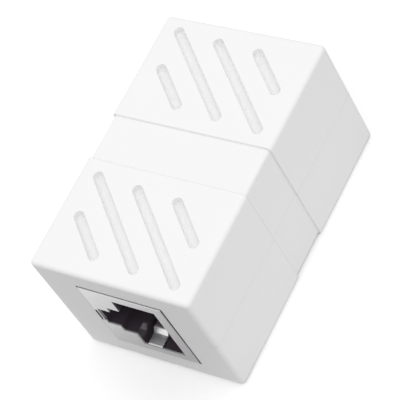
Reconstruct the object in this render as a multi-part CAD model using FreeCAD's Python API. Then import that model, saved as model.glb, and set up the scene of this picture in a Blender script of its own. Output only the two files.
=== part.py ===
import FreeCAD, Part
import math
import os

Vector = FreeCAD.Vector

# A shielded 8P8C inline coupler: two jacks, back to back on a small board, in a casing of two moulded shells.
# X runs across, Y lengthwise with the front port at -Y, and Z up. The origin is the centre of the underside.
# Sizes are in millimetres. Each jack lies on its side, its latch to -X at the front and to +X at the rear.

# Casing
LENGTH = 43.0
WIDTH = 26.5
HEIGHT = 22.0
WALL = 2.0
EDGE_RADIUS = 0.7
WAIST_LENGTH = 7.5
WAIST_RECESS = 0.3
WAIST_EDGE_RADIUS = 0.5
WINDOW_GAP = 0.22

# Joint between the two shells
PARTING_HEIGHT = 10.7
PARTING_GROOVE = 0.04
TONGUE_HEIGHT = 1.0
TONGUE_THICKNESS = 0.9
TONGUE_CLEARANCE = 0.05
POST_WIDTH = 2.6
PIN_WIDTH = 1.3
PIN_LENGTH = 2.0
PIN_CLEARANCE = 0.05

# Blind grooves in the broad faces of both end blocks
GROOVE_ANGLE = -43.4
GROOVE_PITCH = 4.43
GROOVE_WIDTH = 1.5
GROOVE_DEPTH = 1.2
GROOVE_FLOOR_CHAMFER = 0.3
LONG_GROOVE = 17.6
LONG_GROOVE_SHIFT = 2.76
SHORT_GROOVE = 7.55
SHORT_GROOVE_SHIFT = 3.0

# Ribs inside the shells
CRADLE_RIB = 1.2
FRONT_RIB_INSET = 4.0
REAR_RIB_INSET = 12.5
GUIDE_RIB = 1.0
GUIDE_REACH = 2.0

# Port: the stepped opening for a plug on its side
PLUG_LENGTH = 11.8
PLUG_HEIGHT = 7.1
PLUG_DEPTH = 12.0
LATCH_LENGTH = 6.3
LATCH_HEIGHT = 2.15
TAB_LENGTH = 4.0
TAB_HEIGHT = 2.2
LATCH_DEPTH = 9.0
NOTCH_LENGTH = 2.9

# Jack body: walls round the opening
JACK_OFFSET = 0.35
SIDE_WALL = 1.15
LATCH_WALL = 0.5
CONTACT_WALL = 1.35
BACK_WALL = 1.5
BODY_CLEARANCE = 0.05

# Shield: folded sheet round the jack body
SHEET = 0.25
SHIELD_BEND = 0.12
SHIELD_PROUD = 0.15
SHIELD_CLEARANCE = 0.05
SHIELD_STANDOFF = 0.8
SNAP_WIDTH = 3.0
SNAP_LENGTH = 1.5
SNAP_INSET = 10.0
SNAP_CLEARANCE = 0.1
LEG_WIDTH = 1.5
LEG_OFFSET = 4.0

# Ground finger: a strip rolled in from the face, level as far as a step up to its crest, then falling away
FINGER_WIDTH = 2.4
FINGER_OFFSET = 0.35
FINGER_ROOT = 0.7
FINGER_LIFT = 0.1
FINGER_LEVEL = 2.15
FINGER_STEP = 0.4
FINGER_STEP_RISE = 0.75
FINGER_CREST = 0.3
FINGER_TAIL = 3.4
FINGER_BEND = 0.3
FINGER_CLEARANCE = 0.3

# Contact wires
CONTACTS = 8
CONTACT_PITCH = 1.016
CONTACT_WIDTH = 0.45
CONTACT_THICKNESS = 0.3
CONTACT_BEND = 0.55
CONTACT_INSET = 3.0
CONTACT_REACH = 2.4
CONTACT_TIP_INSET = 10.4
CONTACT_CLEARANCE = 0.05
CONTACT_BACKING = 0.65
CONTACT_SLOT = 0.65
COMB_INSET = 9.6
COMB_HEIGHT = 2.8
ROW_SPACING = 2.54

# Contact carrier
CARRIER_PLATE = 1.5
CARRIER_MARGIN = 1.2
CARRIER_STANDOFF = 0.3
CARRIER_FOOT = 1.5
JOG_MARGIN = 1.0
TUNNEL_CLEARANCE = 0.02

# Circuit board
BOARD_THICKNESS = 1.6
BOARD_CLEARANCE = 0.1
BOARD_HOLE_CLEARANCE = 0.1
TAIL_PROTRUSION = 0.5

# How far apart two places in the model may be and still count as one
SAME_PLACE = 0.001

# Places worked out from the sizes above
END = LENGTH / 2
MIDDLE = HEIGHT / 2
INSIDE_X = WIDTH / 2 - WALL
INSIDE_Y = LENGTH / 2 - WALL
INSIDE_Z = HEIGHT / 2 - WALL

BODY_WIDTH = LATCH_WALL + TAB_HEIGHT + LATCH_HEIGHT + PLUG_HEIGHT + CONTACT_WALL
BODY_LEFT = JACK_OFFSET - BODY_WIDTH / 2
BODY_RIGHT = JACK_OFFSET + BODY_WIDTH / 2
PLUG_HALF = PLUG_LENGTH / 2
BODY_HALF = PLUG_HALF + SIDE_WALL
SHIELD_NEAR = -SHIELD_PROUD
BODY_NEAR = SHIELD_NEAR + SHEET + BODY_CLEARANCE
CAVITY_END = BODY_NEAR + PLUG_DEPTH
BODY_FAR = CAVITY_END + BACK_WALL

TAB_LEFT = BODY_LEFT + LATCH_WALL
LATCH_LEFT = TAB_LEFT + TAB_HEIGHT
PLUG_LEFT = LATCH_LEFT + LATCH_HEIGHT
PLUG_RIGHT = PLUG_LEFT + PLUG_HEIGHT

SHIELD_LEFT = BODY_LEFT - BODY_CLEARANCE - SHEET
SHIELD_RIGHT = BODY_RIGHT + BODY_CLEARANCE + SHEET
SHIELD_HALF = BODY_HALF + BODY_CLEARANCE + SHEET
BOARD_NEAR = END - BOARD_THICKNESS / 2
BOARD_FAR = END + BOARD_THICKNESS / 2
SHIELD_FAR = BOARD_NEAR - SHIELD_STANDOFF

FINGER_LEFT = FINGER_OFFSET - FINGER_WIDTH / 2
FINGER_RIGHT = FINGER_OFFSET + FINGER_WIDTH / 2
FINGER_FAR = SHIELD_NEAR + FINGER_LEVEL + FINGER_STEP + FINGER_CREST + FINGER_TAIL

CONTACT_FLOOR = BODY_RIGHT - CONTACT_BACKING
CONTACT_RUN = CONTACT_FLOOR - CONTACT_CLEARANCE - CONTACT_THICKNESS / 2
COMB_LEFT = PLUG_RIGHT - COMB_HEIGHT
CARRIER_NEAR = BODY_FAR + BODY_CLEARANCE
CARRIER_FAR = BOARD_NEAR - CARRIER_STANDOFF


def box(left, right, near, far, bottom, top):
    """Box of the casing: X and Y from the origin, Z from the underside."""
    return Part.makeBox(right - left, far - near, top - bottom, Vector(left, near, bottom))


def jack_box(left, right, bottom, top, near, far):
    """Box of the front jack: heights about the casing's middle, depths in from its front end."""
    return box(left, right, near - END, far - END, MIDDLE + bottom, MIDDLE + top)


def turned(shape):
    """The same part for the other end: half a turn about the vertical axis."""
    copy = shape.copy()
    copy.rotate(Vector(0, 0, 0), Vector(0, 0, 1), 180)
    return copy


def both_ends(shapes):
    """Shapes of the front end, with their twins at the rear."""
    return shapes + [turned(shape) for shape in shapes]


def octagon(width, centre, first, second, run):
    """Eight-sided rod: its width across flats, its section in the plane of two unit vectors, and its run."""
    half_side = math.pi / 8
    reach = width / 2 / math.cos(half_side)
    turns = [half_side * (2 * corner + 1) for corner in range(9)]
    corners = [centre + (first * math.cos(turn) + second * math.sin(turn)) * reach for turn in turns]
    return Part.Face(Part.makePolygon(corners)).extrude(run)


def upright(width, x, y, bottom, top):
    """Eight-sided post, pin or socket that stands at a place between two heights."""
    return octagon(width, Vector(x, y, bottom), Vector(1, 0, 0), Vector(0, 1, 0), Vector(0, 0, top - bottom))


def contact_height(number):
    """Height of a contact above the casing's middle; number 1 is the uppermost."""
    return ((CONTACTS + 1) / 2 - number) * CONTACT_PITCH


# Strips of sheet metal

def side_of_path(path, bend, offset):
    """Edges of the line that runs beside a path, at a steady distance to its left, round bends included."""
    directions = [(after - before).normalize() for before, after in zip(path, path[1:])]
    normals = [Vector(-way.y, way.x, 0) for way in directions]
    edges = []
    start = path[0] + normals[0] * offset
    for index, corner in enumerate(path[1:-1]):
        way_in, way_out = directions[index:index + 2]
        normal_in, normal_out = normals[index:index + 2]
        side = math.copysign(1, way_in.cross(way_out).z)
        setback = bend * math.tan(way_in.getAngle(way_out) / 2)
        centre = corner - way_in * setback + normal_in * (side * bend)
        reach = side * bend - offset
        first = centre - normal_in * reach
        middle = centre - (normal_in + normal_out).normalize() * reach
        last = centre - normal_out * reach
        edges.append(Part.LineSegment(start, first))
        edges.append(Part.Arc(first, middle, last))
        start = last
    edges.append(Part.LineSegment(start, path[-1] + normals[-1] * offset))
    return edges


def strip(points, bend, thickness, width):
    """Strip that follows points in the XY plane with round bends; its width is centred on the plane."""
    path = [Vector(x, y, -width / 2) for x, y in points]
    left = side_of_path(path, bend, thickness / 2)
    right = side_of_path(path, bend, -thickness / 2)
    near_end = Part.LineSegment(left[0].StartPoint, right[0].StartPoint)
    far_end = Part.LineSegment(left[-1].EndPoint, right[-1].EndPoint)
    edges = [curve.toShape() for curve in left + right + [near_end, far_end]]
    outline = Part.Wire(Part.__sortEdges__(edges))
    return Part.Face(outline).extrude(Vector(0, 0, width))


# Casing

def without_inner_edges(block, inner_y):
    """Edges of a block, apart from those round the face where the waist begins."""
    return [edge for edge in block.Edges
            if max(abs(edge.BoundBox.YMin - inner_y), abs(edge.BoundBox.YMax - inner_y)) > SAME_PLACE]


def end_block():
    """Front end block, rounded along its length and round its end face."""
    inner_y = -WAIST_LENGTH / 2
    block = box(-WIDTH / 2, WIDTH / 2, -END, inner_y, 0, HEIGHT)
    return block.makeFillet(EDGE_RADIUS, without_inner_edges(block, inner_y))


def waist():
    """The narrower middle, a little lower than the end blocks on all four sides."""
    half = WIDTH / 2 - WAIST_RECESS
    reach = WAIST_LENGTH / 2 + WALL
    middle = box(-half, half, -reach, reach, WAIST_RECESS, HEIGHT - WAIST_RECESS)
    long_edges = [edge for edge in middle.Edges if edge.BoundBox.YLength > WAIST_LENGTH]
    return middle.makeFillet(WAIST_EDGE_RADIUS, long_edges)


def groove(length):
    """Cutter for one blind groove with round ends and a flat floor, cut down from Z = 0 about the origin."""
    radius = GROOVE_WIDTH / 2
    half = length / 2
    upper = Part.LineSegment(Vector(-half, radius, 0), Vector(half, radius, 0))
    right = Part.Arc(Vector(half, radius, 0), Vector(half + radius, 0, 0), Vector(half, -radius, 0))
    lower = Part.LineSegment(Vector(half, -radius, 0), Vector(-half, -radius, 0))
    left = Part.Arc(Vector(-half, -radius, 0), Vector(-half - radius, 0, 0), Vector(-half, radius, 0))
    outline = Part.Wire([curve.toShape() for curve in (upper, right, lower, left)])
    return Part.Face(outline).extrude(Vector(0, 0, -GROOVE_DEPTH))


def eased_floor(cutter):
    """A groove's cutter with its floor bevelled all round, as on the top face."""
    floor = HEIGHT - GROOVE_DEPTH + SAME_PLACE
    floor_edges = [edge for edge in cutter.Edges if edge.BoundBox.ZMax < floor]
    return cutter.makeChamfer(GROOVE_FLOOR_CHAMFER, floor_edges)


def groove_pattern():
    """Cutters for the four slanted grooves of each end block's top face, two long between two short."""
    block_middle = (END + WAIST_LENGTH / 2) / 2
    cutters = []
    for block_y in (-block_middle, block_middle):
        for step, length, shift in ((-1.5, SHORT_GROOVE, -SHORT_GROOVE_SHIFT),
                                    (-0.5, LONG_GROOVE, -LONG_GROOVE_SHIFT),
                                    (0.5, LONG_GROOVE, LONG_GROOVE_SHIFT),
                                    (1.5, SHORT_GROOVE, SHORT_GROOVE_SHIFT)):
            cutter = groove(length)
            cutter.translate(Vector(shift, step * GROOVE_PITCH, 0))
            cutter.rotate(Vector(0, 0, 0), Vector(0, 0, 1), GROOVE_ANGLE)
            cutter.translate(Vector(0, block_y, HEIGHT))
            cutters.append(cutter)
    return cutters


def turned_over(shape):
    """The same cut in the underside: half a turn about the casing's lengthwise axis."""
    copy = shape.copy()
    copy.rotate(Vector(0, 0, MIDDLE), Vector(0, 1, 0), 180)
    return copy


def post_places():
    """Where the four closing posts stand, between each jack and the side walls."""
    across = (INSIDE_X + SHIELD_RIGHT) / 2
    along = END - (FRONT_RIB_INSET + REAR_RIB_INSET) / 2
    return [(x, y) for x in (-across, across) for y in (-along, along)]


def cradle_rib(inset):
    """Cross rib of the front end that holds the jack's shield all round."""
    rib = jack_box(-INSIDE_X, INSIDE_X, -INSIDE_Z, INSIDE_Z, inset, inset + CRADLE_RIB)
    seat = jack_box(SHIELD_LEFT - SHIELD_CLEARANCE, SHIELD_RIGHT + SHIELD_CLEARANCE,
                    -SHIELD_HALF - SHIELD_CLEARANCE, SHIELD_HALF + SHIELD_CLEARANCE,
                    inset, inset + CRADLE_RIB)
    return rib.cut(seat)


def board_guide():
    """Front rib of the guide that holds the board's edge at the +X wall."""
    near = BOARD_NEAR - BOARD_CLEARANCE - GUIDE_RIB
    return jack_box(INSIDE_X - GUIDE_REACH, INSIDE_X, -INSIDE_Z, INSIDE_Z, near, near + GUIDE_RIB)


def mirrored_across(shape):
    """The shape's mirror image on the other side wall."""
    return shape.mirror(Vector(0, 0, 0), Vector(1, 0, 0))


def hollow():
    """The space inside the casing, left open between ribs, guides and posts."""
    ribs = both_ends([cradle_rib(FRONT_RIB_INSET), cradle_rib(REAR_RIB_INSET)])
    guides = both_ends([board_guide(), mirrored_across(board_guide())])
    posts = [upright(POST_WIDTH, x, y, WALL, HEIGHT - WALL) for x, y in post_places()]
    space = box(-INSIDE_X, INSIDE_X, -INSIDE_Y, INSIDE_Y, WALL, HEIGHT - WALL)
    return space.cut(ribs + guides + posts)


def window():
    """Cutter for the front window, a gap wider than the shield all round."""
    half = SHIELD_HALF + WINDOW_GAP
    return jack_box(SHIELD_LEFT - WINDOW_GAP, SHIELD_RIGHT + WINDOW_GAP, -half, half, -WALL, WALL)


def parting_grooves():
    """Cutters for the fine line where the shells meet along both sides."""
    lines = []
    for half, near, far in ((WIDTH / 2, WAIST_LENGTH / 2, END - EDGE_RADIUS),
                            (WIDTH / 2 - WAIST_RECESS, -WAIST_LENGTH / 2, WAIST_LENGTH / 2),
                            (WIDTH / 2, EDGE_RADIUS - END, -WAIST_LENGTH / 2)):
        for x in (-half, half):
            corners = [Vector(x + PARTING_GROOVE * across, near, PARTING_HEIGHT + PARTING_GROOVE * up)
                       for across, up in ((1, 0), (0, 1), (-1, 0), (0, -1), (1, 0))]
            lines.append(Part.Face(Part.makePolygon(corners)).extrude(Vector(0, far - near, 0)))
    return lines


def casing():
    """Both shells in one, before they are parted."""
    blocks = both_ends([end_block()])
    outside = waist().fuse(blocks)
    top_grooves = [eased_floor(cutter) for cutter in groove_pattern()]
    underside_grooves = [turned_over(cutter) for cutter in groove_pattern()]
    windows = both_ends([window()])
    cuts = [hollow()] + windows + top_grooves + underside_grooves + parting_grooves()
    return outside.cut(cuts).removeSplitter()


def tongue_ring(spread, height):
    """Ring of the wall's inner side above the parting plane, open at the windows."""
    outer = box(-INSIDE_X - spread, INSIDE_X + spread, -INSIDE_Y - spread, INSIDE_Y + spread,
                PARTING_HEIGHT, PARTING_HEIGHT + height)
    inner = box(-INSIDE_X, INSIDE_X, -INSIDE_Y, INSIDE_Y, PARTING_HEIGHT, PARTING_HEIGHT + height)
    return outer.cut([inner] + both_ends([window()]))


def lower_shell(whole):
    """Lower shell, with the tongue on its rim and a socket in each post."""
    below = box(-WIDTH, WIDTH, -LENGTH, LENGTH, -HEIGHT, PARTING_HEIGHT)
    width = PIN_WIDTH + 2 * PIN_CLEARANCE
    floor = PARTING_HEIGHT - PIN_LENGTH - PIN_CLEARANCE
    sockets = [upright(width, x, y, floor, PARTING_HEIGHT) for x, y in post_places()]
    shell = whole.common(below).fuse(tongue_ring(TONGUE_THICKNESS, TONGUE_HEIGHT))
    return shell.cut(sockets).removeSplitter()


def upper_shell(whole):
    """Upper shell, with the rebate for the tongue and a pin under each post."""
    above = box(-WIDTH, WIDTH, -LENGTH, LENGTH, PARTING_HEIGHT, 2 * HEIGHT)
    rebate = tongue_ring(TONGUE_THICKNESS + TONGUE_CLEARANCE, TONGUE_HEIGHT + TONGUE_CLEARANCE)
    tip = PARTING_HEIGHT - PIN_LENGTH
    pins = [upright(PIN_WIDTH, x, y, tip, HEIGHT - WALL) for x, y in post_places()]
    return whole.common(above).cut(rebate).fuse(pins).removeSplitter()


# Jack

def port(near, far, left):
    """The stepped opening between two depths: the plug's body, the latch and its tab, as far out as left."""
    steps = [(PLUG_LEFT, PLUG_RIGHT, PLUG_LENGTH), (LATCH_LEFT, PLUG_LEFT, LATCH_LENGTH),
             (TAB_LEFT, LATCH_LEFT, TAB_LENGTH)]
    if left < TAB_LEFT:
        steps.append((left, TAB_LEFT, NOTCH_LENGTH))
    boxes = [jack_box(x0, x1, -length / 2, length / 2, near, far) for x0, x1, length in steps]
    return boxes[0].fuse(boxes[1:])


def finger_slots():
    """Cutters through the body's top and bottom walls that leave the ground fingers room to flex."""
    left = FINGER_LEFT - FINGER_CLEARANCE
    right = FINGER_RIGHT + FINGER_CLEARANCE
    far = FINGER_FAR + FINGER_CLEARANCE
    return [jack_box(left, right, -BODY_HALF, -PLUG_HALF, BODY_NEAR, far),
            jack_box(left, right, PLUG_HALF, BODY_HALF, BODY_NEAR, far)]


def snaps(spread):
    """Catches on the body's top and bottom walls that hold it in the shield's snap windows."""
    left = JACK_OFFSET - SNAP_WIDTH / 2 - spread
    right = JACK_OFFSET + SNAP_WIDTH / 2 + spread
    near = SNAP_INSET - spread
    far = SNAP_INSET + SNAP_LENGTH + spread
    return [jack_box(left, right, -SHIELD_HALF, -BODY_HALF, near, far),
            jack_box(left, right, BODY_HALF, SHIELD_HALF, near, far)]


def contact_slots():
    """Cutters for the channels that part the wires: through the comb, and back along the wall."""
    cutters = []
    near = CONTACT_INSET - CONTACT_THICKNESS
    for number in range(1, CONTACTS + 1):
        bottom = contact_height(number) - CONTACT_SLOT / 2
        top = contact_height(number) + CONTACT_SLOT / 2
        cutters.append(jack_box(COMB_LEFT, CONTACT_FLOOR, bottom, top, near, CAVITY_END))
        cutters.append(jack_box(PLUG_RIGHT, CONTACT_FLOOR, bottom, top, CAVITY_END, BODY_FAR))
    return cutters


def jack_body():
    """Moulded body: the port's cavity, the comb for the contacts' free ends and the catches."""
    block = jack_box(BODY_LEFT, BODY_RIGHT, -BODY_HALF, BODY_HALF, BODY_NEAR, BODY_FAR)
    plug_space = jack_box(PLUG_LEFT, PLUG_RIGHT, -PLUG_HALF, PLUG_HALF, BODY_NEAR, CAVITY_END)
    latch_space = port(BODY_NEAR, LATCH_DEPTH, TAB_LEFT)
    comb = jack_box(COMB_LEFT, PLUG_RIGHT, -PLUG_HALF, PLUG_HALF, COMB_INSET, CAVITY_END)
    body = block.cut([plug_space, latch_space]).fuse([comb] + snaps(0))
    return body.cut(contact_slots() + finger_slots()).removeSplitter()


def ground_finger():
    """Finger of the opening's lower edge, from its root in the face to the tail in its slot."""
    level = FINGER_LIFT - SHEET / 2
    crest_near = FINGER_LEVEL + FINGER_STEP
    crest_far = crest_near + FINGER_CREST
    points = [(SHEET / 2, -FINGER_ROOT), (SHEET / 2, level), (FINGER_LEVEL, level),
              (crest_near, level + FINGER_STEP_RISE), (crest_far, level + FINGER_STEP_RISE),
              (crest_far + FINGER_TAIL, level)]
    finger = strip(points, FINGER_BEND, SHEET, FINGER_WIDTH)
    axes = FreeCAD.Rotation(Vector(0, 1, 0), Vector(0, 0, 1), Vector(1, 0, 0))
    finger.Placement = FreeCAD.Placement(Vector(FINGER_OFFSET, SHIELD_NEAR - END, MIDDLE - PLUG_HALF), axes)
    return finger


def shield():
    """Folded sheet: four walls and a face with the stepped opening, two ground fingers and two board legs."""
    face_y = SHIELD_NEAR - END
    outside = jack_box(SHIELD_LEFT, SHIELD_RIGHT, -SHIELD_HALF, SHIELD_HALF, SHIELD_NEAR, SHIELD_FAR)
    bends = [edge for edge in outside.Edges if abs(edge.BoundBox.YMax - face_y) < SAME_PLACE]
    inside = jack_box(SHIELD_LEFT + SHEET, SHIELD_RIGHT - SHEET, SHEET - SHIELD_HALF, SHIELD_HALF - SHEET,
                      SHIELD_NEAR + SHEET, SHIELD_FAR)
    opening = port(SHIELD_NEAR, SHIELD_NEAR + SHEET, SHIELD_LEFT)
    tube = outside.makeFillet(SHIELD_BEND, bends).cut([inside, opening] + snaps(SNAP_CLEARANCE))
    lower_finger = ground_finger()
    upper_finger = lower_finger.mirror(Vector(0, face_y, MIDDLE), Vector(0, 0, 1))
    left = LEG_OFFSET - LEG_WIDTH / 2
    right = LEG_OFFSET + LEG_WIDTH / 2
    tip = BOARD_FAR + TAIL_PROTRUSION
    legs = [jack_box(left, right, -SHIELD_HALF, SHEET - SHIELD_HALF, SHIELD_FAR, tip),
            jack_box(left, right, SHIELD_HALF - SHEET, SHIELD_HALF, SHIELD_FAR, tip)]
    return tube.fuse([lower_finger, upper_finger] + legs).removeSplitter()


def contact(number, spread=0):
    """Contact wire: tail in the board, run along the wall, turn at the mouth and slant back to the free end.

    Even numbers jog inwards to a second row of tails. A spread makes the same wire thicker all round.
    """
    turn_y = CONTACT_INSET - END
    points = [(CONTACT_RUN, turn_y), (CONTACT_RUN - 2 * CONTACT_BEND, turn_y),
              (PLUG_RIGHT - CONTACT_REACH, CONTACT_TIP_INSET - END)]
    tail_y = BOARD_FAR + TAIL_PROTRUSION - END
    if number % 2 == 0:
        row = CONTACT_RUN - ROW_SPACING
        jog_far = CARRIER_FAR - JOG_MARGIN - END
        jog_near = CARRIER_NEAR + JOG_MARGIN - END
        points = [(row, tail_y), (row, jog_far), (CONTACT_RUN, jog_near)] + points
    else:
        points = [(CONTACT_RUN, tail_y)] + points
    wire = strip(points, CONTACT_BEND, CONTACT_THICKNESS + 2 * spread, CONTACT_WIDTH + 2 * spread)
    wire.translate(Vector(0, 0, MIDDLE + contact_height(number)))
    return wire


def contact_carrier():
    """Carrier behind the jack body: a plate, a block round the wires and two feet on the board."""
    plate_far = CARRIER_NEAR + CARRIER_PLATE
    plate = jack_box(BODY_LEFT, BODY_RIGHT, -BODY_HALF, BODY_HALF, CARRIER_NEAR, plate_far)
    block = jack_box(CONTACT_RUN - ROW_SPACING - CARRIER_MARGIN, BODY_RIGHT,
                     contact_height(CONTACTS) - CARRIER_MARGIN, contact_height(1) + CARRIER_MARGIN,
                     plate_far, CARRIER_FAR)
    foot_right = BODY_LEFT + CARRIER_FOOT
    feet = [jack_box(BODY_LEFT, foot_right, -BODY_HALF, CARRIER_FOOT - BODY_HALF, plate_far, BOARD_NEAR),
            jack_box(BODY_LEFT, foot_right, BODY_HALF - CARRIER_FOOT, BODY_HALF, plate_far, BOARD_NEAR)]
    tunnels = [contact(number, TUNNEL_CLEARANCE) for number in range(1, CONTACTS + 1)]
    return plate.fuse([block] + feet).cut(tunnels).removeSplitter()


# Circuit board

def board_holes():
    """Cutters through the board for the front jack's tails and shield legs."""
    width = math.hypot(CONTACT_WIDTH, CONTACT_THICKNESS) + 2 * BOARD_HOLE_CLEARANCE
    holes = []
    for number in range(1, CONTACTS + 1):
        x = CONTACT_RUN if number % 2 else CONTACT_RUN - ROW_SPACING
        mouth = Vector(x, -BOARD_THICKNESS / 2, MIDDLE + contact_height(number))
        through = Vector(0, BOARD_THICKNESS, 0)
        holes.append(octagon(width, mouth, Vector(1, 0, 0), Vector(0, 0, -1), through))
    left = LEG_OFFSET - LEG_WIDTH / 2 - BOARD_HOLE_CLEARANCE
    right = LEG_OFFSET + LEG_WIDTH / 2 + BOARD_HOLE_CLEARANCE
    low = SHIELD_HALF - SHEET - BOARD_HOLE_CLEARANCE
    high = SHIELD_HALF + BOARD_HOLE_CLEARANCE
    holes.append(jack_box(left, right, low, high, BOARD_NEAR, BOARD_FAR))
    holes.append(jack_box(left, right, -high, -low, BOARD_NEAR, BOARD_FAR))
    return holes


def circuit_board():
    """Upright board that joins the two jacks, held by its edges in the shells' guides."""
    half_width = INSIDE_X - BOARD_CLEARANCE
    half_height = INSIDE_Z - BOARD_CLEARANCE
    board = jack_box(-half_width, half_width, -half_height, half_height, BOARD_NEAR, BOARD_FAR)
    return board.cut(both_ends(board_holes()))


def build():
    """Every sub-part under its own name."""
    whole = casing()
    parts = {"upper_shell": upper_shell(whole), "lower_shell": lower_shell(whole),
             "circuit_board": circuit_board()}
    front = {"shield": shield(), "jack_body": jack_body(), "contact_carrier": contact_carrier()}
    for number in range(1, CONTACTS + 1):
        front["contact_%d" % number] = contact(number)
    for name, shape in front.items():
        parts["front_" + name] = shape
        parts["rear_" + name] = turned(shape)
    return parts


os.makedirs("parts", exist_ok=True)
for node, solid in build().items():
    solid.exportStep("parts/%s.step" % node)
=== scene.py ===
import math

import bpy
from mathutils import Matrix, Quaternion, Vector


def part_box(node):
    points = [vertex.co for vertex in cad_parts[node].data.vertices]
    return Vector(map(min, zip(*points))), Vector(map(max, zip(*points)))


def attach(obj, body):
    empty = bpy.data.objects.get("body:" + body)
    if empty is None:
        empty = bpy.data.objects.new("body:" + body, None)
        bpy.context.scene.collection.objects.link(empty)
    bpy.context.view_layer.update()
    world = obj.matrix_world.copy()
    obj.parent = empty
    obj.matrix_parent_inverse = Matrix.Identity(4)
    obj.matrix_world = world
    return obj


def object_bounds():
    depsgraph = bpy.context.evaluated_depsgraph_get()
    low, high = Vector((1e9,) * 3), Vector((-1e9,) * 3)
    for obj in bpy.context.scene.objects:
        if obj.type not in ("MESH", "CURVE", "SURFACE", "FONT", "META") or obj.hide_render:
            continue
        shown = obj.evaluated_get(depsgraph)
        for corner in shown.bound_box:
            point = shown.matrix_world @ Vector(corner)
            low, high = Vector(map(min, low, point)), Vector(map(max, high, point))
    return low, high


bl_info = {
    "name": "Inline coupler",
    "version": (1, 0, 0),
    "blender": (4, 5, 0),
    "location": "View3D > Sidebar > Coupler",
    "description": "Finishes, solder joints and a plain studio stage for a shielded inline coupler",
    "category": "Object",
}

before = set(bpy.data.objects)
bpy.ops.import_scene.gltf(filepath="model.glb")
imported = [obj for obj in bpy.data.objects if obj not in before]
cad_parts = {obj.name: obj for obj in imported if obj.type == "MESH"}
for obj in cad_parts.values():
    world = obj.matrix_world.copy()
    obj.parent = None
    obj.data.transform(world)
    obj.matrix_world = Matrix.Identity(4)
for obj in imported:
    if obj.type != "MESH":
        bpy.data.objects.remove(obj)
CAD_LOW, CAD_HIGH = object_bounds()
CAD_MIDDLE = (CAD_LOW + CAD_HIGH) / 2

MM = 0.001
ENDS = ("front", "rear")
CONTACTS = 8

# Sockets of a Mix node that mixes colours
MIX_FROM, MIX_TO, MIX_RESULT = 6, 7, 2

# Refractive indices of the plastics
ABS_IOR = 1.54
PBT_IOR = 1.58

# Shades of its own colour that each finish runs between
CLOUD_SHADES = (1.0, 0.985)
LINE_SHADES = (0.975, 1.025)
FLOW_SHADES = (1.0, 1.2)
FIBRE_SHADES = (1.0, 3.0)
STREAK_SHADES = (1.0, 0.85)
WEAVE_SHADES = (1.0, 0.8)
FROST_SHADES = (1.0, 0.8)

# What each pattern adds to a finish's roughness
GRAIN_ROUGHNESS = (-0.06, 0.06)
LINE_ROUGHNESS = (0.04, -0.03)
FLOW_ROUGHNESS = (-0.02, 0.03)
STREAK_ROUGHNESS = (-0.05, 0.1)

# The whole roughness of finishes that have no setting for it
CARRIER_ROUGHNESS = (0.5, 0.65)
MASK_ROUGHNESS = (0.25, 0.4)
SOLDER_ROUGHNESS = (0.2, 0.5)

# Relief of the mould's pits and of the rolling lines
RELIEF_HEIGHT = 0.01 * MM
GRAIN_RELIEF = 0.12
LINE_RELIEF = 0.1

# The part of the noise that counts as a rolling line, and how far the lines stretch a reflection
LINE_EDGES = (0.35, 0.65)
LINE_STRETCH = 0.6

# A fibre shows within this share of its spacing, and covers this much of the black there
FIBRE_REACH = 0.25
FIBRE_COVER = 0.6

# Width of a drawing streak, as a share of its length
STREAK_WIDTH = 0.03

# At scale 1 a wave texture repeats every pi / 10 of a metre
WAVE_REPEAT = math.pi / 10

# Rays that feel for an edge to round: the wide, plain edges of the casing need the most
CASING_EDGE_RAYS = 16
SHEET_EDGE_RAYS = 8
SMALL_EDGE_RAYS = 4

# A solder joint: its sides, its tip and its edges' rounding as shares of its foot's radius
SOLDER_SIDES = 20
SOLDER_TIP = 0.55
SOLDER_ROUNDING = 0.1
SOLDER_STEPS = 2
SOLDER_SMOOTH = math.radians(50)

# The stage: where the lamp stands doesn't change a sun's light
LAMP_HEIGHT = 0.3
CLIP_NEAR = 10 * MM
CLIP_FAR = 10.0
WHITE = (1.0, 1.0, 1.0, 1.0)


def srgb(code):
    """Linear colour of an sRGB hex value."""
    channels = [int(code[i:i + 2], 16) / 255 for i in (1, 3, 5)]
    return tuple(c / 12.92 if c <= 0.04045 else ((c + 0.055) / 1.055) ** 2.4 for c in channels)


def tone(colour, shade=1.0):
    """A colour with its alpha, made lighter or darker by a shade."""
    return (*[shade * channel for channel in colour], 1.0)


# Sizes and colours that a user would change

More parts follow.
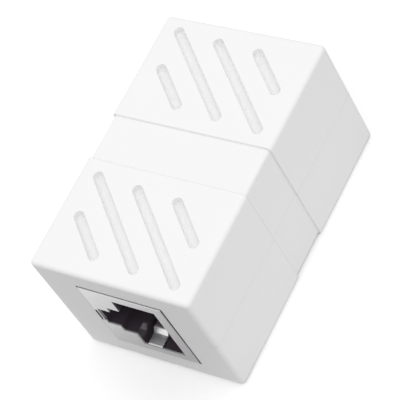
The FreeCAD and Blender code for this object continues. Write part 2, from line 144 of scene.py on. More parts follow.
class CasingSettings(bpy.types.PropertyGroup):
    colour: bpy.props.FloatVectorProperty(
        name="Colour", description="White of the moulded ABS",
        subtype="COLOR", size=3, default=srgb("#F4F4F4"))
    roughness: bpy.props.FloatProperty(
        name="Roughness", description="Sheen left by the mould's spark-eroded surface",
        default=0.65)
    grain: bpy.props.FloatProperty(
        name="Grain", description="Size of the mould's spark-eroded pits",
        unit="LENGTH", default=0.12 * MM)
    cloud: bpy.props.FloatProperty(
        name="Cloud", description="Size of the faint clouding in the white",
        unit="LENGTH", default=9 * MM)
    edge: bpy.props.FloatProperty(
        name="Edge break", description="Rounding of edges and corners that the mould leaves sharp",
        unit="LENGTH", default=0.22 * MM)
    # Painted shade: a faint grey line stands in for the shade in the joint between the shells
    soil: bpy.props.FloatVectorProperty(
        name="Joint soil", description="White of the joint between the shells, greyed by handling",
        subtype="COLOR", size=3, default=srgb("#EBEBEA"))
    joint_height: bpy.props.FloatProperty(
        name="Joint height", description="Height of the joint between the shells",
        unit="LENGTH", default=10.7 * MM)
    joint_width: bpy.props.FloatProperty(
        name="Joint width", description="Width of the soiled line",
        unit="LENGTH", default=0.12 * MM)
    joint_depth: bpy.props.FloatProperty(
        name="Joint depth", description="How far in from the sides the line is soiled",
        unit="LENGTH", default=0.45 * MM)
    # Painted shade: dark grey inside the shells stands in for the shade in the gap round the shield
    paint: bpy.props.FloatVectorProperty(
        name="Paint", description="Conductive paint inside the shells",
        subtype="COLOR", size=3, default=srgb("#2A2A2C"))
    paint_width: bpy.props.FloatProperty(
        name="Painted width", description="Width of the painted inside",
        unit="LENGTH", default=24 * MM)
    paint_length: bpy.props.FloatProperty(
        name="Painted length", description="Length of the painted inside",
        unit="LENGTH", default=42.96 * MM)
    paint_height: bpy.props.FloatProperty(
        name="Painted height", description="Height of the painted inside",
        unit="LENGTH", default=18.5 * MM)


class ShieldSettings(bpy.types.PropertyGroup):
    colour: bpy.props.FloatVectorProperty(
        name="Colour", description="Nickel plating",
        subtype="COLOR", size=3, default=srgb("#DDDCDD"))
    # Painted highlight: brighter plating inside the port lifts the ground fingers, over what plugs
    # wipe bright
    wiped: bpy.props.FloatVectorProperty(
        name="Wiped colour",
        description="Plating that plugs have wiped bright, as on the ground fingers",
        subtype="COLOR", size=3, default=srgb("#FCFCFC"))
    wiped_depth: bpy.props.FloatProperty(
        name="Wiped depth", description="How far inside the port the plating is fully bright",
        unit="LENGTH", default=0.6 * MM)
    roughness: bpy.props.FloatProperty(
        name="Roughness", description="Blur of the rolled sheet's reflections", default=0.42)
    line_spacing: bpy.props.FloatProperty(
        name="Line spacing", description="Distance between the rolling lines",
        unit="LENGTH", default=0.3 * MM)
    line_length: bpy.props.FloatProperty(
        name="Line length", description="How far a rolling line runs",
        unit="LENGTH", default=12 * MM)
    edge: bpy.props.FloatProperty(
        name="Edge break", description="Rounding of the sheet's cut edges",
        unit="LENGTH", default=0.04 * MM)


class JackSettings(bpy.types.PropertyGroup):
    colour: bpy.props.FloatVectorProperty(
        name="Colour", description="Black PBT",
        subtype="COLOR", size=3, default=srgb("#423B42"))
    roughness: bpy.props.FloatProperty(
        name="Roughness", description="Gloss of the polished mould core inside the port",
        default=0.05)
    flow: bpy.props.FloatProperty(
        name="Flow marks", description="Size of the marks where the melt ran",
        unit="LENGTH", default=1.5 * MM)
    fibre: bpy.props.FloatProperty(
        name="Fibre", description="Length of the glass fibres that show in the carrier",
        unit="LENGTH", default=0.2 * MM)
    edge: bpy.props.FloatProperty(
        name="Edge break", description="Rounding of the moulded edges",
        unit="LENGTH", default=0.05 * MM)


class ContactSettings(bpy.types.PropertyGroup):
    colour: bpy.props.FloatVectorProperty(
        name="Colour", description="Gold flash on the contact wires",
        subtype="COLOR", size=3, default=srgb("#E0B768"))
    roughness: bpy.props.FloatProperty(
        name="Roughness", description="Blur of the drawn wire's reflections", default=0.35)
    streaks: bpy.props.FloatProperty(
        name="Drawing streaks", description="Spacing of the marks that wire drawing leaves",
        unit="LENGTH", default=0.05 * MM)
    edge: bpy.props.FloatProperty(
        name="Edge break", description="Rounding of the flattened wire's edges",
        unit="LENGTH", default=0.05 * MM)


class BoardSettings(bpy.types.PropertyGroup):
    colour: bpy.props.FloatVectorProperty(
        name="Colour", description="Green solder mask",
        subtype="COLOR", size=3, default=srgb("#1C5A34"))
    weave: bpy.props.FloatProperty(
        name="Weave", description="Spacing of the glass cloth under the mask",
        unit="LENGTH", default=0.5 * MM)
    solder: bpy.props.FloatVectorProperty(
        name="Solder", description="Bright tin of the solder joints",
        subtype="COLOR", size=3, default=srgb("#D4D6D8"))
    frost: bpy.props.FloatProperty(
        name="Frost", description="Grain of the solder's frozen skin",
        unit="LENGTH", default=0.15 * MM)
    pad: bpy.props.FloatProperty(
        name="Pad radius", description="Radius of the solder on each contact tail",
        unit="LENGTH", default=0.48 * MM)
    rise: bpy.props.FloatProperty(
        name="Solder height", description="Height of the solder up each tail",
        unit="LENGTH", default=0.38 * MM)


class StageSettings(bpy.types.PropertyGroup):
    azimuth: bpy.props.FloatProperty(
        name="Azimuth", description="Camera's turn round the coupler",
        subtype="ANGLE", default=math.radians(55.41))
    elevation: bpy.props.FloatProperty(
        name="Elevation", description="Camera's height above the horizon",
        subtype="ANGLE", default=math.radians(49.85))
    roll: bpy.props.FloatProperty(
        name="Roll", description="Camera's tilt about its own line of sight",
        subtype="ANGLE", default=math.radians(-34.06))
    distance: bpy.props.FloatProperty(
        name="Distance", description="Camera to the middle of the coupler",
        unit="LENGTH", default=291.3 * MM)
    aim: bpy.props.FloatVectorProperty(
        name="Aim", description="Aimed point, from the coupler's middle",
        subtype="TRANSLATION", size=3, default=(-0.55 * MM, -0.81 * MM, 0.0))
    lens: bpy.props.FloatProperty(
        name="Lens", description="Focal length", unit="CAMERA", default=186.1)
    key: bpy.props.FloatProperty(
        name="Key light", description="Light that the key lamp throws on a face turned to it",
        default=0.2)
    key_tilt: bpy.props.FloatProperty(
        name="Key tilt", description="Key lamp's lean to the coupler's +X side",
        subtype="ANGLE", default=math.radians(15))
    key_spread: bpy.props.FloatProperty(
        name="Key spread", description="Angle that the key lamp fills, for soft shadows",
        subtype="ANGLE", default=math.radians(60))
    sky: bpy.props.FloatProperty(
        name="Sky", description="Even light from all round", default=0.84)
    floor_size: bpy.props.FloatProperty(
        name="Floor size", description="Side of the square floor", unit="LENGTH", default=4.0)
    floor_colour: bpy.props.FloatVectorProperty(
        name="Floor", description="White floor, as it is seen",
        subtype="COLOR", size=3, default=srgb("#FEFEFE"))
    floor_gap: bpy.props.FloatProperty(
        name="Floor gap", description="Keeps the floor and the underside from sharing one plane",
        unit="LENGTH", default=0.02 * MM)
    side_bounce: bpy.props.FloatVectorProperty(
        name="Side bounce", description="Grey that sets the light thrown up on the long sides",
        subtype="COLOR", size=3, default=srgb("#D8D8D8"))
    end_bounce: bpy.props.FloatVectorProperty(
        name="End bounce", description="Grey that sets the light thrown up on the ends",
        subtype="COLOR", size=3, default=srgb("#585858"))
    card_near: bpy.props.FloatProperty(
        name="Card start", description="Place before an end where the paper starts to turn grey",
        unit="LENGTH", default=0.0)
    card_far: bpy.props.FloatProperty(
        name="Card end", description="Place before an end where the grey is full",
        unit="LENGTH", default=36 * MM)
    floor_lift: bpy.props.FloatProperty(
        name="Floor lift", description="Extra white of the floor as the camera sees it",
        default=0.1)
    # Painted shadow: the grey that metal mirrors in the floor stands in for the coupler's shadow
    # there
    floor_shade: bpy.props.FloatVectorProperty(
        name="Floor shade", description="Grey of the floor that the port's metal mirrors",
        subtype="COLOR", size=3, default=srgb("#BEBEBE"))
    shade_start: bpy.props.FloatProperty(
        name="Shade start", description="Place across the floor where the mirrored grey is full",
        unit="LENGTH", default=-5 * MM)
    shade_end: bpy.props.FloatProperty(
        name="Shade end", description="Place across the floor where the mirrored grey has gone",
        unit="LENGTH", default=-20 * MM)


class CouplerSettings(bpy.types.PropertyGroup):
    casing: bpy.props.PointerProperty(type=CasingSettings)
    shield: bpy.props.PointerProperty(type=ShieldSettings)
    jack: bpy.props.PointerProperty(type=JackSettings)
    contact: bpy.props.PointerProperty(type=ContactSettings)
    board: bpy.props.PointerProperty(type=BoardSettings)
    stage: bpy.props.PointerProperty(type=StageSettings)


# Materials

def add_node(tree, kind, inputs=None, links=None, **settings):
    """Adds a node with its own settings, its inputs' values, and the outputs they are linked to."""
    node = tree.nodes.new(kind)
    for name, value in settings.items():
        setattr(node, name, value)
    for name, value in (inputs or {}).items():
        node.inputs[name].default_value = value
    for name, source in (links or {}).items():
        tree.links.new(source, node.inputs[name])
    return node


def empty_material(name):
    """A material with no nodes yet, and its node tree."""
    material = bpy.data.materials.new(name)
    material.use_nodes = True
    material.node_tree.nodes.clear()
    return material, material.node_tree


def white_abs(settings):
    """White ABS off a spark-eroded mould: an even matt white, its grain too fine to count."""
    material, tree = empty_material("spark_eroded_white_abs")
    place = add_node(tree, "ShaderNodeTexCoord").outputs["Object"]

    # The pits scatter the gloss, so that no lamp shows as a spot
    pits = add_node(
        tree, "ShaderNodeTexNoise",
        inputs={"Scale": 1 / settings.grain, "Detail": 3.0},
        links={"Vector": place})
    smooth, coarse = GRAIN_ROUGHNESS
    rough = add_node(
        tree, "ShaderNodeMapRange",
        inputs={"To Min": settings.roughness + smooth, "To Max": settings.roughness + coarse},
        links={"Value": pits.outputs["Fac"]})

    # Thick and thin walls cool at different rates, which clouds the white, barely in sight
    flow = add_node(
        tree, "ShaderNodeTexNoise",
        inputs={"Scale": 1 / settings.cloud, "Detail": 1.0},
        links={"Vector": place})
    clear, cloudy = CLOUD_SHADES
    white = add_node(
        tree, "ShaderNodeMix", data_type="RGBA",
        inputs={MIX_FROM: tone(settings.colour, clear), MIX_TO: tone(settings.colour, cloudy)},
        links={"Factor": flow.outputs["Fac"]})

    # A faint line of painted shade marks the joint between the shells, along the two sides
    axes = add_node(tree, "ShaderNodeSeparateXYZ", links={0: place})
    joint = add_node(
        tree, "ShaderNodeMath", operation="COMPARE",
        inputs={1: settings.joint_height, 2: settings.joint_width / 2},
        links={0: axes.outputs["Z"]})
    from_middle = add_node(
        tree, "ShaderNodeMath", operation="ABSOLUTE", links={0: axes.outputs["X"]})
    near_side = add_node(
        tree, "ShaderNodeMath", operation="GREATER_THAN",
        inputs={1: CAD_HIGH.x - settings.joint_depth},
        links={0: from_middle.outputs["Value"]})
    seam_shaded = add_node(
        tree, "ShaderNodeMath", operation="MULTIPLY",
        links={0: joint.outputs["Value"], 1: near_side.outputs["Value"]})
    seam_shaded_white = add_node(
        tree, "ShaderNodeMix", data_type="RGBA",
        inputs={MIX_TO: tone(settings.soil)},
        links={"Factor": seam_shaded.outputs["Value"], MIX_FROM: white.outputs[MIX_RESULT]})

    # Inside, and as far as the mouths of the windows, the shells are painted dark grey: painted
    # shade that keeps the gap round the shield dark. Measured from the middle in half sizes of the
    # shaded box, all of it lies within 1
    half_sizes = Vector((settings.paint_width, settings.paint_length, settings.paint_height)) / 2
    inside = add_node(
        tree, "ShaderNodeMapping", vector_type="TEXTURE",
        inputs={"Location": CAD_MIDDLE, "Scale": half_sizes},
        links={"Vector": place})
    from_centre = add_node(
        tree, "ShaderNodeVectorMath", operation="ABSOLUTE", links={0: inside.outputs["Vector"]})
    reach = add_node(tree, "ShaderNodeSeparateXYZ", links={0: from_centre.outputs["Vector"]})
    across = add_node(
        tree, "ShaderNodeMath", operation="MAXIMUM",
        links={0: reach.outputs["X"], 1: reach.outputs["Y"]})
    farthest = add_node(
        tree, "ShaderNodeMath", operation="MAXIMUM",
        links={0: across.outputs["Value"], 1: reach.outputs["Z"]})
    shaded_inside = add_node(
        tree, "ShaderNodeMath", operation="LESS_THAN",
        inputs={1: 1.0},
        links={0: farthest.outputs["Value"]})
    colour = add_node(
        tree, "ShaderNodeMix", data_type="RGBA",
        inputs={MIX_TO: tone(settings.paint)},
        links={"Factor": shaded_inside.outputs["Value"], MIX_FROM: seam_shaded_white.outputs[MIX_RESULT]})

    # The mould's cutter leaves edges and groove floors a little round
    edge = add_node(
        tree, "ShaderNodeBevel", samples=CASING_EDGE_RAYS, inputs={"Radius": settings.edge})
    relief = add_node(
        tree, "ShaderNodeBump",
        inputs={"Strength": GRAIN_RELIEF, "Distance": RELIEF_HEIGHT},
        links={"Height": pits.outputs["Fac"], "Normal": edge.outputs["Normal"]})
    shader = add_node(
        tree, "ShaderNodeBsdfPrincipled",
        inputs={"IOR": ABS_IOR},
        links={"Base Color": colour.outputs[MIX_RESULT],
               "Roughness": rough.outputs["Result"],
               "Normal": relief.outputs["Normal"]})
    add_node(tree, "ShaderNodeOutputMaterial", links={"Surface": shader.outputs["BSDF"]})
    return material


def nickel_sheet(settings):
    """Rolled sheet, nickel-plated and folded: a satin grey with fine lines along the roll."""
    material, tree = empty_material("rolled_nickel_plated_sheet")
    place = add_node(tree, "ShaderNodeTexCoord").outputs["Object"]

    # Rolling draws every mark out along the sheet, which here runs across the coupler. The
    # lines stand wider apart than real ones, so that they show
    along = add_node(
        tree, "ShaderNodeMapping",
        inputs={"Scale": (settings.line_spacing / settings.line_length, 1.0, 1.0)},
        links={"Vector": place})
    lines = add_node(
        tree, "ShaderNodeTexNoise",
        inputs={"Scale": 1 / settings.line_spacing, "Detail": 2.0},
        links={"Vector": along.outputs["Vector"]})
    faint, full = LINE_EDGES
    sharp_lines = add_node(
        tree, "ShaderNodeMapRange",
        inputs={"From Min": faint, "From Max": full},
        links={"Value": lines.outputs["Fac"]})
    dark, light = LINE_SHADES
    plated = add_node(
        tree, "ShaderNodeMix", data_type="RGBA",
        inputs={MIX_FROM: tone(settings.colour, dark), MIX_TO: tone(settings.colour, light)},
        links={"Factor": sharp_lines.outputs["Result"]})
    dull, bright = LINE_ROUGHNESS
    rough = add_node(
        tree, "ShaderNodeMapRange",
        inputs={"To Min": settings.roughness + dull, "To Max": settings.roughness + bright},
        links={"Value": sharp_lines.outputs["Result"]})

    # Past the face the plating is painted brighter, a painted highlight that lifts the ground
    # fingers, on top of what plugs wipe bright
    axes = add_node(tree, "ShaderNodeSeparateXYZ", links={0: place})
    from_middle = add_node(
        tree, "ShaderNodeMath", operation="ABSOLUTE", links={0: axes.outputs["Y"]})
    wiped = add_node(
        tree, "ShaderNodeMapRange",
        inputs={"From Min": CAD_HIGH.y - settings.wiped_depth / 2,
                "From Max": CAD_HIGH.y - settings.wiped_depth},
        links={"Value": from_middle.outputs["Value"]})
    colour = add_node(
        tree, "ShaderNodeMix", data_type="RGBA",
        inputs={MIX_TO: tone(settings.wiped)},
        links={"Factor": wiped.outputs["Result"], MIX_FROM: plated.outputs[MIX_RESULT]})

    edge = add_node(
        tree, "ShaderNodeBevel", samples=SHEET_EDGE_RAYS, inputs={"Radius": settings.edge})
    relief = add_node(
        tree, "ShaderNodeBump",
        inputs={"Strength": LINE_RELIEF, "Distance": RELIEF_HEIGHT},
        links={"Height": lines.outputs["Fac"], "Normal": edge.outputs["Normal"]})
    # The lines blur a reflection across themselves, so its tangents run round the X axis
    across = add_node(tree, "ShaderNodeTangent", direction_type="RADIAL", axis="X")
    shader = add_node(
        tree, "ShaderNodeBsdfPrincipled",
        inputs={"Metallic": 1.0, "Anisotropic": LINE_STRETCH},
        links={"Base Color": colour.outputs[MIX_RESULT],
               "Roughness": rough.outputs["Result"],
               "Normal": relief.outputs["Normal"],
               "Tangent": across.outputs["Tangent"]})
    add_node(tree, "ShaderNodeOutputMaterial", links={"Surface": shader.outputs["BSDF"]})
    return material


def polished_pbt(settings):
    """Black PBT off a polished core: glossy enough to mirror the metal that stands beside it."""
    material, tree = empty_material("polished_black_pbt")
    place = add_node(tree, "ShaderNodeTexCoord").outputs["Object"]

    # Faint streaks where the melt ran round the core
    flow = add_node(
        tree, "ShaderNodeTexNoise",
        inputs={"Scale": 1 / settings.flow, "Detail": 2.0},
        links={"Vector": place})
    black, streak = FLOW_SHADES
    colour = add_node(
        tree, "ShaderNodeMix", data_type="RGBA",
        inputs={MIX_FROM: tone(settings.colour, black), MIX_TO: tone(settings.colour, streak)},
        links={"Factor": flow.outputs["Fac"]})
    glossy, dull = FLOW_ROUGHNESS
    rough = add_node(
        tree, "ShaderNodeMapRange",
        inputs={"To Min": settings.roughness + glossy, "To Max": settings.roughness + dull},
        links={"Value": flow.outputs["Fac"]})
    edge = add_node(
        tree, "ShaderNodeBevel", samples=SMALL_EDGE_RAYS, inputs={"Radius": settings.edge})
    shader = add_node(
        tree, "ShaderNodeBsdfPrincipled",
        inputs={"IOR": PBT_IOR},
        links={"Base Color": colour.outputs[MIX_RESULT],
               "Roughness": rough.outputs["Result"],
               "Normal": edge.outputs["Normal"]})
    add_node(tree, "ShaderNodeOutputMaterial", links={"Surface": shader.outputs["BSDF"]})
    return material


def filled_pbt(settings):
    """Glass-filled black PBT: duller than the bodies, with short pale fibres in its skin."""
    material, tree = empty_material("glass_filled_black_pbt")
    place = add_node(tree, "ShaderNodeTexCoord").outputs["Object"]

    # Each cell's centre stands for a fibre's end, drawn thicker than the real 10 microns to show
    fibres = add_node(
        tree, "ShaderNodeTexVoronoi",
        inputs={"Scale": 1 / settings.fibre},
        links={"Vector": place})
    near_fibre = add_node(
        tree, "ShaderNodeMapRange",
        inputs={"From Max": FIBRE_REACH, "To Min": FIBRE_COVER, "To Max": 0.0},
        links={"Value": fibres.outputs["Distance"]})
    black, pale = FIBRE_SHADES
    colour = add_node(
        tree, "ShaderNodeMix", data_type="RGBA",
        inputs={MIX_FROM: tone(settings.colour, black), MIX_TO: tone(settings.colour, pale)},
        links={"Factor": near_fibre.outputs["Result"]})
    glossy, dull = CARRIER_ROUGHNESS
    rough = add_node(
        tree, "ShaderNodeMapRange",
        inputs={"To Min": glossy, "To Max": dull},
        links={"Value": fibres.outputs["Distance"]})
    shader = add_node(
        tree, "ShaderNodeBsdfPrincipled",
        inputs={"IOR": PBT_IOR},
        links={"Base Color": colour.outputs[MIX_RESULT], "Roughness": rough.outputs["Result"]})
    add_node(tree, "ShaderNodeOutputMaterial", links={"Surface": shader.outputs["BSDF"]})
    return material


def gold_flash(settings):
    """Gold flash on drawn phosphor bronze: warm and bright, with streaks along the wire."""
    material, tree = empty_material("gold_flashed_drawn_bronze")
    place = add_node(tree, "ShaderNodeTexCoord").outputs["Object"]

    # The die's marks run lengthwise, as most of each wire does, and are drawn wide to show
    along = add_node(
        tree, "ShaderNodeMapping",
        inputs={"Scale": (1.0, STREAK_WIDTH, 1.0)},
        links={"Vector": place})
    streaks = add_node(
        tree, "ShaderNodeTexNoise",
        inputs={"Scale": 1 / settings.streaks, "Detail": 2.0},
        links={"Vector": along.outputs["Vector"]})
    light, dark = STREAK_SHADES
    colour = add_node(
        tree, "ShaderNodeMix", data_type="RGBA",
        inputs={MIX_FROM: tone(settings.colour, light), MIX_TO: tone(settings.colour, dark)},
        links={"Factor": streaks.outputs["Fac"]})
    bright, dull = STREAK_ROUGHNESS
    rough = add_node(
        tree, "ShaderNodeMapRange",
        inputs={"To Min": settings.roughness + bright, "To Max": settings.roughness + dull},
        links={"Value": streaks.outputs["Fac"]})
    edge = add_node(
        tree, "ShaderNodeBevel", samples=SMALL_EDGE_RAYS, inputs={"Radius": settings.edge})
    shader = add_node(
        tree, "ShaderNodeBsdfPrincipled",
        inputs={"Metallic": 1.0},
        links={"Base Color": colour.outputs[MIX_RESULT],
               "Roughness": rough.outputs["Result"],
               "Normal": edge.outputs["Normal"]})
    add_node(tree, "ShaderNodeOutputMaterial", links={"Surface": shader.outputs["BSDF"]})
    return material


def solder_mask(settings):
    """Green mask over glass cloth: glossy, with the cloth's weave faintly in sight under it."""
    material, tree = empty_material("solder_mask_on_glass_cloth")
    place = add_node(tree, "ShaderNodeTexCoord").outputs["Object"]

    # Two sets of waves stand for the cloth's warp and weft
    weave_scale = WAVE_REPEAT / settings.weave
    warp = add_node(
        tree, "ShaderNodeTexWave", bands_direction="X",
        inputs={"Scale": weave_scale},
        links={"Vector": place})
    weft = add_node(
        tree, "ShaderNodeTexWave", bands_direction="Z",
        inputs={"Scale": weave_scale},
        links={"Vector": place})
    weave = add_node(
        tree, "ShaderNodeMath", operation="MULTIPLY",
        links={0: warp.outputs["Fac"], 1: weft.outputs["Fac"]})
    light, dark = WEAVE_SHADES
    colour = add_node(
        tree, "ShaderNodeMix", data_type="RGBA",
        inputs={MIX_FROM: tone(settings.colour, light), MIX_TO: tone(settings.colour, dark)},
        links={"Factor": weave.outputs["Value"]})
    glossy, dull = MASK_ROUGHNESS
    rough = add_node(
        tree, "ShaderNodeMapRange",
        inputs={"To Min": glossy, "To Max": dull},
        links={"Value": weave.outputs["Value"]})
    shader = add_node(
        tree, "ShaderNodeBsdfPrincipled",
        links={"Base Color": colour.outputs[MIX_RESULT], "Roughness": rough.outputs["Result"]})
    add_node(tree, "ShaderNodeOutputMaterial", links={"Surface": shader.outputs["BSDF"]})
    return material


def tin_solder(settings):
    """Reflowed tin solder: bright, with a frosted skin where it froze."""
    material, tree = empty_material("reflowed_tin_solder")
    place = add_node(tree, "ShaderNodeTexCoord").outputs["Object"]

    # The frost's grain is drawn coarser than tin's own, so that it shows
    frost = add_node(
        tree, "ShaderNodeTexNoise",
        inputs={"Scale": 1 / settings.frost, "Detail": 3.0},
        links={"Vector": place})
    light, dark = FROST_SHADES
    colour = add_node(
        tree, "ShaderNodeMix", data_type="RGBA",
        inputs={MIX_FROM: tone(settings.solder, light), MIX_TO: tone(settings.solder, dark)},
        links={"Factor": frost.outputs["Fac"]})
    bright, dull = SOLDER_ROUGHNESS
    rough = add_node(
        tree, "ShaderNodeMapRange",
        inputs={"To Min": bright, "To Max": dull},
        links={"Value": frost.outputs["Fac"]})
    shader = add_node(
        tree, "ShaderNodeBsdfPrincipled",
        inputs={"Metallic": 1.0},
        links={"Base Color": colour.outputs[MIX_RESULT], "Roughness": rough.outputs["Result"]})
    add_node(tree, "ShaderNodeOutputMaterial", links={"Surface": shader.outputs["BSDF"]})
    return material


def matt_paper(settings):
    """Matt white paper with grey cards and a painted shadow for metal: white to the eye, though it
    throws back less light.
    """
    material, tree = empty_material("white_matt_paper")
    path = add_node(tree, "ShaderNodeLightPath")
    place = add_node(tree, "ShaderNodeTexCoord").outputs["Object"]
    axes = add_node(tree, "ShaderNodeSeparateXYZ", links={0: place})

    # Paper lights the sides, and a darker card lies in front of each end
    from_x = add_node(
        tree, "ShaderNodeMath", operation="ABSOLUTE", links={0: axes.outputs["X"]})
    from_y = add_node(
        tree, "ShaderNodeMath", operation="ABSOLUTE", links={0: axes.outputs["Y"]})
    beyond_ends = add_node(
        tree, "ShaderNodeMath", operation="SUBTRACT",
        links={0: from_y.outputs["Value"], 1: from_x.outputs["Value"]})
    card = add_node(
        tree, "ShaderNodeMapRange",
        inputs={"From Min": settings.card_near, "From Max": settings.card_far},
        links={"Value": beyond_ends.outputs["Value"]})
    bounce = add_node(
        tree, "ShaderNodeMix", data_type="RGBA",
        inputs={MIX_FROM: tone(settings.side_bounce), MIX_TO: tone(settings.end_bounce)},
        links={"Factor": card.outputs["Result"]})

    # Metal mirrors a painted shadow on the floor: grey near the coupler, fading to white past its
    # -X side, seen only in reflections
    shade = add_node(
        tree, "ShaderNodeMapRange",
        inputs={"From Min": settings.shade_end, "From Max": settings.shade_start},
        links={"Value": axes.outputs["X"]})
    mirrored = add_node(
        tree, "ShaderNodeMix", data_type="RGBA",
        inputs={MIX_FROM: tone(settings.floor_colour), MIX_TO: tone(settings.floor_shade)},
        links={"Factor": shade.outputs["Result"]})
    thrown = add_node(
        tree, "ShaderNodeMix", data_type="RGBA",
        links={"Factor": path.outputs["Is Glossy Ray"],
               MIX_FROM: bounce.outputs[MIX_RESULT],
               MIX_TO: mirrored.outputs[MIX_RESULT]})
    seen = add_node(
        tree, "ShaderNodeMix", data_type="RGBA",
        inputs={MIX_TO: tone(settings.floor_colour)},
        links={"Factor": path.outputs["Is Camera Ray"], MIX_FROM: thrown.outputs[MIX_RESULT]})

    # A lift that only the camera sees keeps the paper white round a faint shadow
    lift = add_node(
        tree, "ShaderNodeMath", operation="MULTIPLY",
        inputs={1: settings.floor_lift},
        links={0: path.outputs["Is Camera Ray"]})
    shader = add_node(
        tree, "ShaderNodeBsdfPrincipled",
        inputs={"Roughness": 1.0, "Specular IOR Level": 0.0, "Emission Color": WHITE},
        links={"Base Color": seen.outputs[MIX_RESULT],
               "Emission Strength": lift.outputs["Value"]})
    add_node(tree, "ShaderNodeOutputMaterial", links={"Surface": shader.outputs["BSDF"]})
    return material


def dress(node, material):
    """Gives a CAD node its finish."""
    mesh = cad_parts[node].data
    mesh.materials.clear()
    mesh.materials.append(material)


# Pieces

class FinishCasing(bpy.types.Operator):
    """Gives both shells their moulded white ABS"""
    bl_idname = "coupler.finish_casing"
    bl_label = "Casing"

    def execute(self, context):
        material = white_abs(context.scene.coupler.casing)
        for node in ("upper_shell", "lower_shell"):
            dress(node, material)
        return {"FINISHED"}


class FinishShields(bpy.types.Operator):
    """Gives both shields their nickel-plated sheet"""
    bl_idname = "coupler.finish_shields"
    bl_label = "Shields"

    def execute(self, context):
        material = nickel_sheet(context.scene.coupler.shield)
        for end in ENDS:
            dress(end + "_shield", material)
        return {"FINISHED"}


class FinishJacks(bpy.types.Operator):
    """Gives the jack bodies and contact carriers their black plastics"""
    bl_idname = "coupler.finish_jacks"
    bl_label = "Jack bodies and carriers"

    def execute(self, context):
        settings = context.scene.coupler.jack
        body = polished_pbt(settings)
        carrier = filled_pbt(settings)
        for end in ENDS:
            dress(end + "_jack_body", body)
            dress(end + "_contact_carrier", carrier)
        return {"FINISHED"}


class FinishContacts(bpy.types.Operator):
    """Gives the sixteen contact wires their gold"""
    bl_idname = "coupler.finish_contacts"
    bl_label = "Contact wires"

    def execute(self, context):
        material = gold_flash(context.scene.coupler.contact)
        for end in ENDS:
            for number in range(1, CONTACTS + 1):
                dress("%s_contact_%d" % (end, number), material)
        return {"FINISHED"}


class FinishBoard(bpy.types.Operator):
    """Gives the circuit board its solder mask"""
    bl_idname = "coupler.finish_board"
    bl_label = "Circuit board"

    def execute(self, context):
        dress("circuit_board", solder_mask(context.scene.coupler.board))
        return {"FINISHED"}


class AddSolder(bpy.types.Operator):
    """Solders every contact tail to the board, one piece of solder joints for each jack"""
    bl_idname = "coupler.add_solder"
    bl_label = "Solder joints"

    def execute(self, context):
        settings = context.scene.coupler.board
        material = tin_solder(settings)
        board_low, board_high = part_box("circuit_board")
        for end, face_y, way in (("front", board_high.y, 1), ("rear", board_low.y, -1)):
            joints = []
            for number in range(1, CONTACTS + 1):
                low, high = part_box("%s_contact_%d" % (end, number))
                tail_x = self.tail_x(end, number, way, face_y)
                foot = Vector((tail_x, face_y, (low.z + high.z) / 2))
                joints.append(self.solder_joint(settings, foot, way))
            bpy.ops.object.select_all(action="DESELECT")
            for joint in joints:
                joint.select_set(True)
            context.view_layer.objects.active = joints[0]
            bpy.ops.object.join()
            piece = context.view_layer.objects.active
            piece.name = end + "_solder_joints"
            piece.data.name = piece.name
            bpy.ops.object.transform_apply(location=True, rotation=True, scale=True)
            bpy.ops.object.shade_smooth_by_angle(angle=SOLDER_SMOOTH)
            piece.data.materials.append(material)
            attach(piece, "root")
        return {"FINISHED"}

    def tail_x(self, end, number, way, face_y):
        """Where a contact's tail stands on the board's far face, read from the wire itself."""
        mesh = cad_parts["%s_contact_%d" % (end, number)].data
        tips = [v.co.x for v in mesh.vertices if (v.co.y - face_y) * way > 0]
        return (min(tips) + max(tips)) / 2

    def solder_joint(self, settings, foot, way):
        """One cone of solder, wetted out at its foot and drawn up the tail."""
        bpy.ops.object.select_all(action="DESELECT")
        bpy.ops.mesh.primitive_cone_add(
            vertices=SOLDER_SIDES, radius1=settings.pad, radius2=SOLDER_TIP * settings.pad,
            depth=settings.rise, location=foot + Vector((0, way * settings.rise / 2, 0)),
            rotation=(-way * math.pi / 2, 0, 0))
        joint = bpy.context.active_object
        bpy.ops.object.mode_set(mode="EDIT")
        bpy.ops.mesh.select_all(action="SELECT")
        bpy.ops.mesh.bevel(
            offset=SOLDER_ROUNDING * settings.pad, segments=SOLDER_STEPS, affect="EDGES")
        bpy.ops.object.mode_set(mode="OBJECT")
        return joint


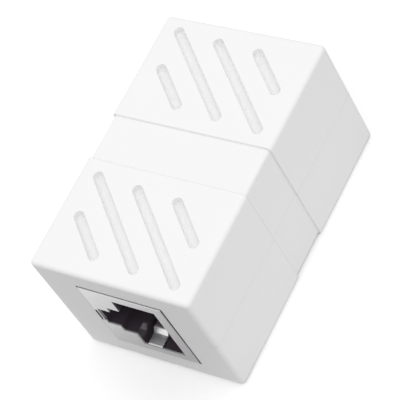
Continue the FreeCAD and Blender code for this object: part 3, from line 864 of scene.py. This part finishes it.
class BuildStage(bpy.types.Operator):
    """Sets the floor, the sky, the key lamp and the camera"""
    bl_idname = "coupler.build_stage"
    bl_label = "Stage"

    def execute(self, context):
        settings = context.scene.coupler.stage
        self.floor(settings)
        self.sky(context, settings)
        self.key_lamp(settings)
        self.camera(context, settings)
        context.scene.view_settings.view_transform = "Standard"
        return {"FINISHED"}

    def floor(self, settings):
        """A square of paper, just clear of the underside."""
        bpy.ops.object.select_all(action="DESELECT")
        bpy.ops.mesh.primitive_plane_add(
            size=settings.floor_size, location=(0, 0, CAD_LOW.z - settings.floor_gap))
        floor = bpy.context.active_object
        floor.name = "floor"
        floor.data.materials.append(matt_paper(settings))

    def sky(self, context, settings):
        """White wherever it is seen, also in metal, and an even light otherwise."""
        world = bpy.data.worlds.new("sky")
        world.use_nodes = True
        tree = world.node_tree
        tree.nodes.clear()
        path = add_node(tree, "ShaderNodeLightPath")
        mirrored = add_node(
            tree, "ShaderNodeMath", operation="MAXIMUM",
            links={0: path.outputs["Is Glossy Ray"], 1: path.outputs["Is Transmission Ray"]})
        seen = add_node(
            tree, "ShaderNodeMath", operation="MAXIMUM",
            links={0: path.outputs["Is Camera Ray"], 1: mirrored.outputs["Value"]})
        strength = add_node(
            tree, "ShaderNodeMapRange",
            inputs={"To Min": settings.sky, "To Max": 1.0},
            links={"Value": seen.outputs["Value"]})
        light = add_node(
            tree, "ShaderNodeBackground",
            inputs={"Color": WHITE},
            links={"Strength": strength.outputs["Result"]})
        add_node(tree, "ShaderNodeOutputWorld", links={"Surface": light.outputs["Background"]})
        context.scene.world = world

    def key_lamp(self, settings):
        """A wide, soft sun; at a strength of pi it alone would render a white face as white."""
        bpy.ops.object.light_add(
            type="SUN", location=(0, 0, LAMP_HEIGHT), rotation=(0, settings.key_tilt, 0))
        lamp = bpy.context.active_object
        lamp.name = "key_lamp"
        lamp.data.energy = settings.key * math.pi
        lamp.data.angle = settings.key_spread

    def camera(self, context, settings):
        """Looks down at the front port and the +X side, turned about its own line of sight."""
        sight = Vector((-math.sin(settings.azimuth) * math.cos(settings.elevation),
                        math.cos(settings.azimuth) * math.cos(settings.elevation),
                        -math.sin(settings.elevation)))
        bpy.ops.object.camera_add(
            location=CAD_MIDDLE + Vector(settings.aim) - sight * settings.distance)
        camera = bpy.context.active_object
        roll = Quaternion((0, 0, 1), settings.roll)
        camera.rotation_mode = "QUATERNION"
        camera.rotation_quaternion = sight.to_track_quat("-Z", "Y") @ roll
        camera.data.lens = settings.lens
        camera.data.clip_start = CLIP_NEAR
        camera.data.clip_end = CLIP_FAR
        context.scene.camera = camera


class CouplerPanel(bpy.types.Panel):
    """Lists the coupler's operators and settings"""
    bl_idname = "VIEW3D_PT_coupler"
    bl_label = "Inline coupler"
    bl_space_type = "VIEW_3D"
    bl_region_type = "UI"
    bl_category = "Coupler"

    def draw(self, context):
        for operator in OPERATORS:
            self.layout.operator(operator.bl_idname)
        for group in CouplerSettings.__annotations__:
            settings = getattr(context.scene.coupler, group)
            column = self.layout.column(heading=group.capitalize())
            for name in settings.__annotations__:
                column.prop(settings, name)


OPERATORS = (
    FinishCasing, FinishShields, FinishJacks, FinishContacts, FinishBoard, AddSolder,
    BuildStage)
CLASSES = (
    CasingSettings, ShieldSettings, JackSettings, ContactSettings, BoardSettings,
    StageSettings, CouplerSettings, *OPERATORS, CouplerPanel)


def register():
    for cls in CLASSES:
        bpy.utils.register_class(cls)
    bpy.types.Scene.coupler = bpy.props.PointerProperty(type=CouplerSettings)


def unregister():
    del bpy.types.Scene.coupler
    for cls in reversed(CLASSES):
        bpy.utils.unregister_class(cls)


def main():
    register()
    bpy.ops.coupler.finish_casing()
    bpy.ops.coupler.finish_shields()
    bpy.ops.coupler.finish_jacks()
    bpy.ops.coupler.finish_contacts()
    bpy.ops.coupler.finish_board()
    bpy.ops.coupler.add_solder()
    bpy.ops.coupler.build_stage()


if __name__ == "__main__":
    main()
